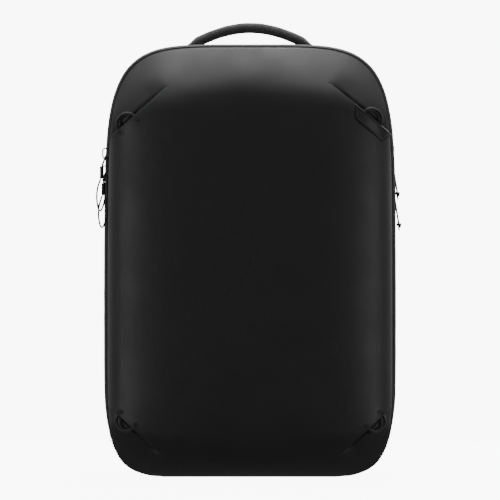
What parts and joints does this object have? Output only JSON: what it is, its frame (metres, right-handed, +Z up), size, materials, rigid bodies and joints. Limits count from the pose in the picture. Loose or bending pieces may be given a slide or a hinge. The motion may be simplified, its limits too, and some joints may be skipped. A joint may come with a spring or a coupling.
{
  "type": "travel backpack",
  "caption": "Soft travel backpack with clamshell front lid and harness panel, tubular top handle, corner lash loops, side zips with cord pulls, and padded shoulder straps.",
  "frame": {"origin": "on the floor under the pack body, midway across, about a quarter of its gusset's depth behind the gusset's front edge", "axes": "+Z up, -Y the way the pack's front lid faces, +X to the right of someone looking at that lid"},
  "size_m": [0.3497, 0.2385, 0.5163],
  "materials": {
    "coated_fabric": "satin coated nylon",
    "woven_fabric": "matt woven nylon",
    "lining": "light woven lining",
    "padding_mesh": "spacer mesh",
    "webbing": "ribbed webbing",
    "cord": "braided cord",
    "zip_chain": "moulded zip teeth on woven tape",
    "slider_metal": "black zinc alloy",
    "nylon_fitting": "moulded nylon",
    "soft_rubber": "matt soft rubber",
    "stiffener": "smooth plastic sheet"
  },
  "bodies": {
    "pack_body": {"main_gusset": "coated_fabric", "rim_piping": "coated_fabric", "front_zip_gusset_teeth": "zip_chain", "rear_zip_gusset_teeth": "zip_chain", "base_stiffener": "stiffener", "front_hinge_fabric": "woven_fabric", "rear_hinge_fabric": "woven_fabric", "handle_tab_left": "webbing", "handle_tab_right": "webbing"},
    "front_lid": {"front_shell": "coated_fabric", "front_zip_lid_teeth": "zip_chain", "label_patch": "soft_rubber", "lid_organiser_panel": "lining", "lash_loop_upper_left": "cord", "lash_loop_upper_right": "cord", "lash_loop_lower_left": "cord", "lash_loop_lower_right": "cord", "lash_tab_upper_left": "webbing", "lash_tab_upper_right": "webbing", "lash_tab_lower_left": "webbing", "lash_tab_lower_right": "webbing"},
    "rear_panel": {"harness_panel": "woven_fabric", "rear_zip_panel_teeth": "zip_chain", "frame_sheet": "stiffener", "laptop_sleeve": "lining", "back_pad_upper_left": "padding_mesh", "back_pad_upper_right": "padding_mesh", "back_pad_lower_left": "padding_mesh", "back_pad_lower_right": "padding_mesh", "strap_tab_top_left": "webbing", "strap_tab_top_right": "webbing", "strap_tab_base_left": "webbing", "strap_tab_base_right": "webbing"},
    "handle": {"top_handle": "woven_fabric"},
    "slider_left_upper": {"zip_slider_left_upper": "slider_metal"},
    "pull_left_upper": {"pull_sleeve_left_upper": "soft_rubber", "pull_loop_left_upper": "cord"},
    "slider_left_lower": {"zip_slider_left_lower": "slider_metal"},
    "pull_left_lower": {"pull_sleeve_left_lower": "soft_rubber", "pull_loop_left_lower": "cord"},
    "slider_right_upper": {"zip_slider_right_upper": "slider_metal"},
    "pull_right_upper": {"pull_cord_right_upper": "cord", "pull_knot_right_upper": "cord"},
    "slider_right_lower": {"zip_slider_right_lower": "slider_metal"},
    "pull_right_lower": {"pull_cord_right_lower": "cord", "pull_knot_right_lower": "cord"},
    "strap_left": {"shoulder_strap_left": "padding_mesh", "lower_webbing_left": "webbing"},
    "ladder_lock_left": {"ladder_lock_left": "nylon_fitting"},
    "sternum_clip_left": {"sternum_clip_left": "nylon_fitting"},
    "sternum_strap_left": {"sternum_webbing_left": "webbing", "sternum_buckle_left": "nylon_fitting"},
    "strap_right": {"shoulder_strap_right": "padding_mesh", "lower_webbing_right": "webbing"},
    "ladder_lock_right": {"ladder_lock_right": "nylon_fitting"},
    "sternum_clip_right": {"sternum_clip_right": "nylon_fitting"},
    "sternum_strap_right": {"sternum_webbing_right": "webbing", "sternum_buckle_right": "nylon_fitting"}
  },
  "joints": [
    {"name": "lid_opens", "type": "hinge", "parent": "pack_body", "child": "front_lid", "pos_m": [0, -0.025, 0.0021], "axis": [1, 0, 0], "range_deg": [0, 95]},
    {"name": "rear_panel_opens", "type": "hinge", "parent": "pack_body", "child": "rear_panel", "pos_m": [0, 0.06, 0.0021], "axis": [-1, 0, 0], "range_deg": [0, 60]},
    {"name": "handle_folds", "type": "hinge", "parent": "pack_body", "child": "handle", "pos_m": [0, 0.026, 0.4896], "axis": [1, 0, 0], "range_deg": [-50, 50]},
    {"name": "zip_left_upper_runs", "type": "slide", "parent": "pack_body", "child": "slider_left_upper", "axis": [0, 0, 1], "range_m": [0, 0.02]},
    {"name": "pull_left_upper_swings", "type": "hinge", "parent": "slider_left_upper", "child": "pull_left_upper", "pos_m": [-0.16364, -0.025, 0.36365], "axis": [0, 1, 0], "range_deg": [0, 90]},
    {"name": "zip_left_lower_runs", "type": "slide", "parent": "pack_body", "child": "slider_left_lower", "axis": [0, 0, 1], "range_m": [-0.2, 0]},
    {"name": "pull_left_lower_swings", "type": "hinge", "parent": "slider_left_lower", "child": "pull_left_lower", "pos_m": [-0.16442, -0.025, 0.34365], "axis": [0, 1, 0], "range_deg": [0, 90]},
    {"name": "zip_right_upper_runs", "type": "slide", "parent": "pack_body", "child": "slider_right_upper", "axis": [0, 0, 1], "range_m": [0, 0.02]},
    {"name": "pull_right_upper_swings", "type": "hinge", "parent": "slider_right_upper", "child": "pull_right_upper", "pos_m": [0.1623, 0.06, 0.36965], "axis": [0, -1, 0], "range_deg": [0, 90]},
    {"name": "zip_right_lower_runs", "type": "slide", "parent": "pack_body", "child": "slider_right_lower", "axis": [0, 0, 1], "range_m": [-0.19, 0]},
    {"name": "pull_right_lower_swings", "type": "hinge", "parent": "slider_right_lower", "child": "pull_right_lower", "pos_m": [0.16369, 0.06, 0.33265], "axis": [0, -1, 0], "range_deg": [0, 90]},
    {"name": "strap_left_swings", "type": "hinge", "parent": "rear_panel", "child": "strap_left", "pos_m": [-0.052, 0.08, 0.44], "axis": [0.1894, 0, 0.9819], "range_deg": [-8, 8]},
    {"name": "ladder_lock_left_tilts", "type": "hinge", "parent": "strap_left", "child": "ladder_lock_left", "pos_m": [-0.1095, 0.1085, 0.1815], "axis": [1, 0, 0], "range_deg": [0, 30]},
    {"name": "sternum_clip_left_slides", "type": "slide", "parent": "strap_left", "child": "sternum_clip_left", "axis": [0.196, 0, 0.9806], "range_m": [-0.02, 0.02]},
    {"name": "sternum_strap_left_swings", "type": "hinge", "parent": "sternum_clip_left", "child": "sternum_strap_left", "pos_m": [-0.063, 0.1345, 0.336], "axis": [0, -1, 0], "range_deg": [0, 32]},
    {"name": "strap_right_swings", "type": "hinge", "parent": "rear_panel", "child": "strap_right", "pos_m": [0.052, 0.08, 0.44], "axis": [0.1894, 0, -0.9819], "range_deg": [-8, 8]},
    {"name": "ladder_lock_right_tilts", "type": "hinge", "parent": "strap_right", "child": "ladder_lock_right", "pos_m": [0.1095, 0.1085, 0.1815], "axis": [1, 0, 0], "range_deg": [0, 30]},
    {"name": "sternum_clip_right_slides", "type": "slide", "parent": "strap_right", "child": "sternum_clip_right", "axis": [-0.196, 0, 0.9806], "range_m": [-0.02, 0.02]},
    {"name": "sternum_strap_right_swings", "type": "hinge", "parent": "sternum_clip_right", "child": "sternum_strap_right", "pos_m": [0.063, 0.1345, 0.336], "axis": [0, 1, 0], "range_deg": [0, 32]}
  ]
}
